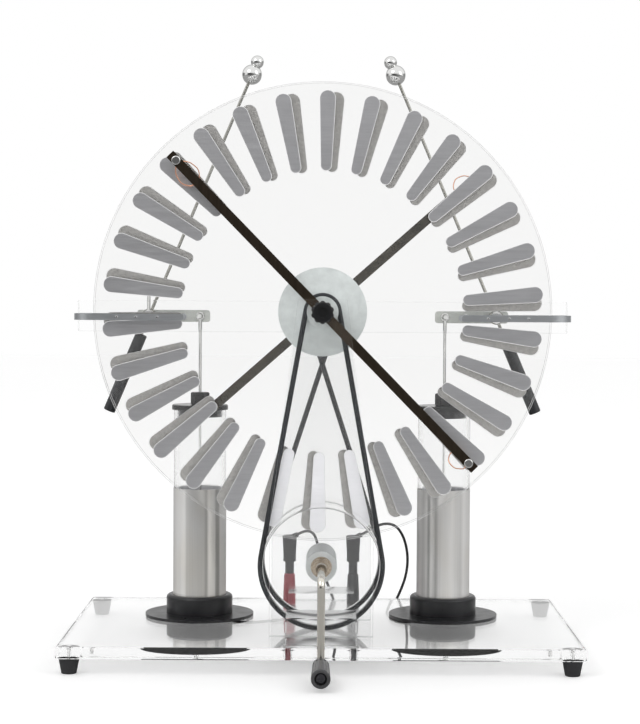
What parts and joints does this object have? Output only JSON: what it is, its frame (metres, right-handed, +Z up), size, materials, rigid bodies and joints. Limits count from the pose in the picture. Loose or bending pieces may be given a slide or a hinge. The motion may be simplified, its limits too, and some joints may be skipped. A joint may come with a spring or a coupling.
{
  "type": "wimshurst machine",
  "caption": "Hand-cranked electrostatic machine: clear counter-turning discs with foil sectors, belts, combs, jars and ball electrodes on a clear base.",
  "frame": {"origin": "on the table under the middle of the machine's width and depth, leads left out", "axes": "+Z up, +Y from the crank towards the leads, +X to the right seen from the crank"},
  "size_m": [0.342, 0.2657, 0.4128],
  "materials": {
    "acrylic": "clear, polished",
    "foil": "satin foil",
    "boss_grey": "light grey, moulded",
    "bar_dark": "dark bronze, satin",
    "nickel": "bright nickel",
    "steel": "brushed lengthwise",
    "satin_alloy": "satin",
    "olive_plate": "dull, greyed",
    "copper": "bright copper wire",
    "black_plastic": "black, moulded",
    "black_gloss": "black, polished",
    "red_plastic": "red, moulded",
    "jar_ring_black": "black, turned",
    "sleeve_grey": "light grey, turned",
    "nylon": "white nylon",
    "belt_rubber": "dark round cord",
    "foot_rubber": "dark rubber",
    "lead_black": "black, limp"
  },
  "bodies": {
    "stand": {"base_plate": "acrylic", "rubber_feet": "foot_rubber", "foot_screws": "nickel", "front_upright": "acrylic", "rear_upright": "acrylic", "upright_blocks": "acrylic", "shaft_bushes": "nylon", "crossbar": "acrylic", "crossbar_screws": "nickel", "axle": "steel", "axle_washers": "nylon", "star_knobs": "black_plastic", "front_belt": "belt_rubber", "rear_belt": "belt_rubber", "left_collector_strip": "satin_alloy", "right_collector_strip": "satin_alloy", "comb_pins": "nickel", "collector_posts": "satin_alloy", "terminal_screws": "nickel", "terminal_spacers": "nickel", "link_plates": "olive_plate", "jar_holders": "jar_ring_black", "jar_tubes": "acrylic", "jar_outer_coatings": "steel", "jar_inner_coatings": "foil", "jar_caps": "black_gloss", "jar_nuts": "black_plastic", "jar_rods": "nickel", "jar_screws": "nickel", "ring_terminals": "nickel", "left_socket": "red_plastic", "right_socket": "black_gloss", "socket_nuts": "nickel", "plugs": "black_plastic", "left_lead": "lead_black", "right_lead": "lead_black"},
    "crank": {"crank_rod": "nickel", "pulley_sleeve": "sleeve_grey", "large_pulleys": "acrylic", "pulley_nuts_and_washers": "nickel", "grip_screw": "nickel"},
    "grip": {"crank_grip": "black_plastic"},
    "front_disc_wheel": {"front_disc": "acrylic", "front_sectors": "foil", "front_boss": "boss_grey"},
    "rear_disc_wheel": {"rear_disc": "acrylic", "rear_sectors": "foil", "rear_boss": "boss_grey"},
    "front_neutraliser": {"front_neutraliser_bar": "bar_dark", "front_bar_screws": "nickel", "front_brushes": "copper"},
    "rear_neutraliser": {"rear_neutraliser_bar": "bar_dark", "rear_bar_screws": "nickel", "rear_brushes": "copper"},
    "left_electrode": {"left_electrode_rods": "nickel", "left_electrode_balls": "nickel", "left_electrode_handle": "black_plastic"},
    "right_electrode": {"right_electrode_rods": "nickel", "right_electrode_balls": "nickel", "right_electrode_handle": "black_plastic"}
  },
  "joints": [
    {"name": "crank_turn", "type": "hinge", "parent": "stand", "child": "crank", "pos_m": [0, 0.001, 0.0635], "axis": [0, 1, 0], "continuous": true},
    {"name": "grip_spin", "type": "hinge", "parent": "crank", "child": "grip", "pos_m": [0, -0.1085, 0.009], "axis": [0, 1, 0], "continuous": true},
    {"name": "front_disc_turn", "type": "hinge", "parent": "stand", "child": "front_disc_wheel", "pos_m": [0, 0.001, 0.234], "axis": [0, 1, 0], "continuous": true},
    {"name": "rear_disc_turn", "type": "hinge", "parent": "stand", "child": "rear_disc_wheel", "pos_m": [0, 0.001, 0.234], "axis": [0, 1, 0], "continuous": true},
    {"name": "front_neutraliser_set", "type": "hinge", "parent": "stand", "child": "front_neutraliser", "pos_m": [0, 0.001, 0.234], "axis": [0, 1, 0], "range_deg": [-20, 20]},
    {"name": "rear_neutraliser_set", "type": "hinge", "parent": "stand", "child": "rear_neutraliser", "pos_m": [0, 0.001, 0.234], "axis": [0, 1, 0], "range_deg": [-20, 20]},
    {"name": "left_electrode_swing", "type": "hinge", "parent": "stand", "child": "left_electrode", "pos_m": [-0.122, 0.052, 0.23], "axis": [0, 1, 0], "range_deg": [-30, 13.5]},
    {"name": "right_electrode_swing", "type": "hinge", "parent": "stand", "child": "right_electrode", "pos_m": [0.122, 0.052, 0.23], "axis": [0, 1, 0], "range_deg": [-13.5, 30]}
  ],
  "couplings": [
    {"joint": "front_disc_turn", "follows": "crank_turn", "ratio": 3.7},
    {"joint": "rear_disc_turn", "follows": "crank_turn", "ratio": -3.7}
  ]
}
